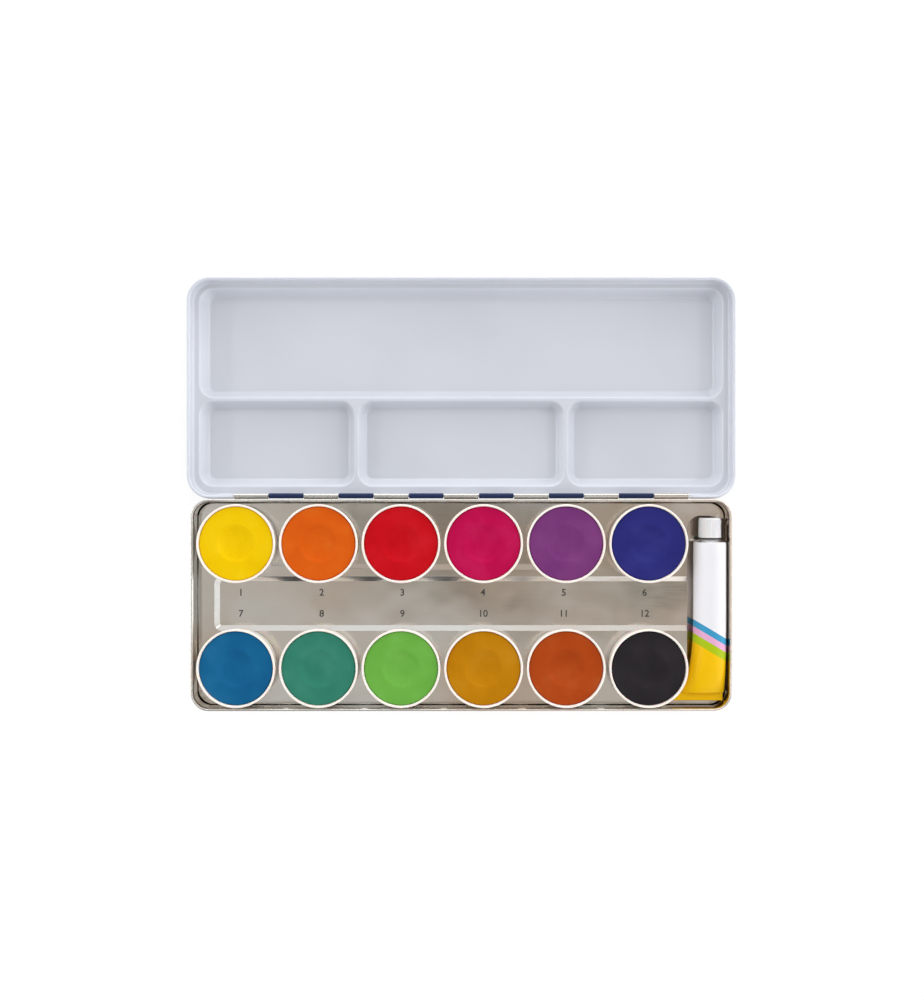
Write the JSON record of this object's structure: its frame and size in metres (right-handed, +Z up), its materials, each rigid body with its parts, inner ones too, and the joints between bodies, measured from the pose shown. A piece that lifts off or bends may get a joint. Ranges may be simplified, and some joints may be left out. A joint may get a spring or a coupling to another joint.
{
  "type": "watercolor pan set",
  "caption": "Hinged metal tin of round watercolour pans in two rows, with a tube of white and mixing wells pressed into the opened lid.",
  "frame": {"origin": "under the middle of the opened set, on the table", "axes": "+X to the right along the hinge, +Y from the base towards the opened lid, +Z up"},
  "size_m": [0.2106, 0.1664, 0.0141],
  "materials": {
    "tinplate": "bright",
    "white_lacquer": "gloss",
    "pan_plastic": "satin",
    "steel_wire": "drawn",
    "tube_lacquer": "gloss",
    "white_paint": "matte",
    "cap_plastic": "satin",
    "paint_yellow": "matte",
    "paint_orange": "matte",
    "paint_red": "matte",
    "paint_magenta": "matte",
    "paint_violet": "matte",
    "paint_ultramarine": "matte",
    "paint_blue": "matte",
    "paint_blue_green": "matte",
    "paint_yellow_green": "matte",
    "paint_ochre": "matte",
    "paint_sienna": "matte",
    "paint_black": "matte"
  },
  "bodies": {
    "base": {"base_tin": "tinplate", "insert_tray": "tinplate", "hinge_wire": "steel_wire"},
    "lid": {"lid_shell": "white_lacquer"},
    "pan_01": {"pan_cup_01": "pan_plastic", "paint_cake_01": "paint_yellow"},
    "pan_02": {"pan_cup_02": "pan_plastic", "paint_cake_02": "paint_orange"},
    "pan_03": {"pan_cup_03": "pan_plastic", "paint_cake_03": "paint_red"},
    "pan_04": {"pan_cup_04": "pan_plastic", "paint_cake_04": "paint_magenta"},
    "pan_05": {"pan_cup_05": "pan_plastic", "paint_cake_05": "paint_violet"},
    "pan_06": {"pan_cup_06": "pan_plastic", "paint_cake_06": "paint_ultramarine"},
    "pan_07": {"pan_cup_07": "pan_plastic", "paint_cake_07": "paint_blue"},
    "pan_08": {"pan_cup_08": "pan_plastic", "paint_cake_08": "paint_blue_green"},
    "pan_09": {"pan_cup_09": "pan_plastic", "paint_cake_09": "paint_yellow_green"},
    "pan_10": {"pan_cup_10": "pan_plastic", "paint_cake_10": "paint_ochre"},
    "pan_11": {"pan_cup_11": "pan_plastic", "paint_cake_11": "paint_sienna"},
    "pan_12": {"pan_cup_12": "pan_plastic", "paint_cake_12": "paint_black"},
    "tube": {"tube_body": "tube_lacquer", "tube_paint": "white_paint"},
    "cap": {"tube_cap": "cap_plastic"}
  },
  "joints": [
    {"name": "lid_hinge", "type": "hinge", "parent": "base", "child": "lid", "pos_m": [0, -0.00089, 0.01], "axis": [-1, 0, 0], "range_deg": [-180, 0]},
    {"name": "pan_01_lift", "type": "slide", "parent": "base", "child": "pan_01", "axis": [0, 0, 1], "range_m": [0, 0.03]},
    {"name": "pan_02_lift", "type": "slide", "parent": "base", "child": "pan_02", "axis": [0, 0, 1], "range_m": [0, 0.03]},
    {"name": "pan_03_lift", "type": "slide", "parent": "base", "child": "pan_03", "axis": [0, 0, 1], "range_m": [0, 0.03]},
    {"name": "pan_04_lift", "type": "slide", "parent": "base", "child": "pan_04", "axis": [0, 0, 1], "range_m": [0, 0.03]},
    {"name": "pan_05_lift", "type": "slide", "parent": "base", "child": "pan_05", "axis": [0, 0, 1], "range_m": [0, 0.03]},
    {"name": "pan_06_lift", "type": "slide", "parent": "base", "child": "pan_06", "axis": [0, 0, 1], "range_m": [0, 0.03]},
    {"name": "pan_07_lift", "type": "slide", "parent": "base", "child": "pan_07", "axis": [0, 0, 1], "range_m": [0, 0.03]},
    {"name": "pan_08_lift", "type": "slide", "parent": "base", "child": "pan_08", "axis": [0, 0, 1], "range_m": [0, 0.03]},
    {"name": "pan_09_lift", "type": "slide", "parent": "base", "child": "pan_09", "axis": [0, 0, 1], "range_m": [0, 0.03]},
    {"name": "pan_10_lift", "type": "slide", "parent": "base", "child": "pan_10", "axis": [0, 0, 1], "range_m": [0, 0.03]},
    {"name": "pan_11_lift", "type": "slide", "parent": "base", "child": "pan_11", "axis": [0, 0, 1], "range_m": [0, 0.03]},
    {"name": "pan_12_lift", "type": "slide", "parent": "base", "child": "pan_12", "axis": [0, 0, 1], "range_m": [0, 0.03]},
    {"name": "tube_lift", "type": "slide", "parent": "base", "child": "tube", "axis": [0, 0, 1], "range_m": [0, 0.03]},
    {"name": "cap_turn", "type": "hinge", "parent": "tube", "child": "cap", "pos_m": [0.0957, -0.01697, 0.0079], "axis": [0, 1, 0], "range_deg": [0, 540]}
  ]
}
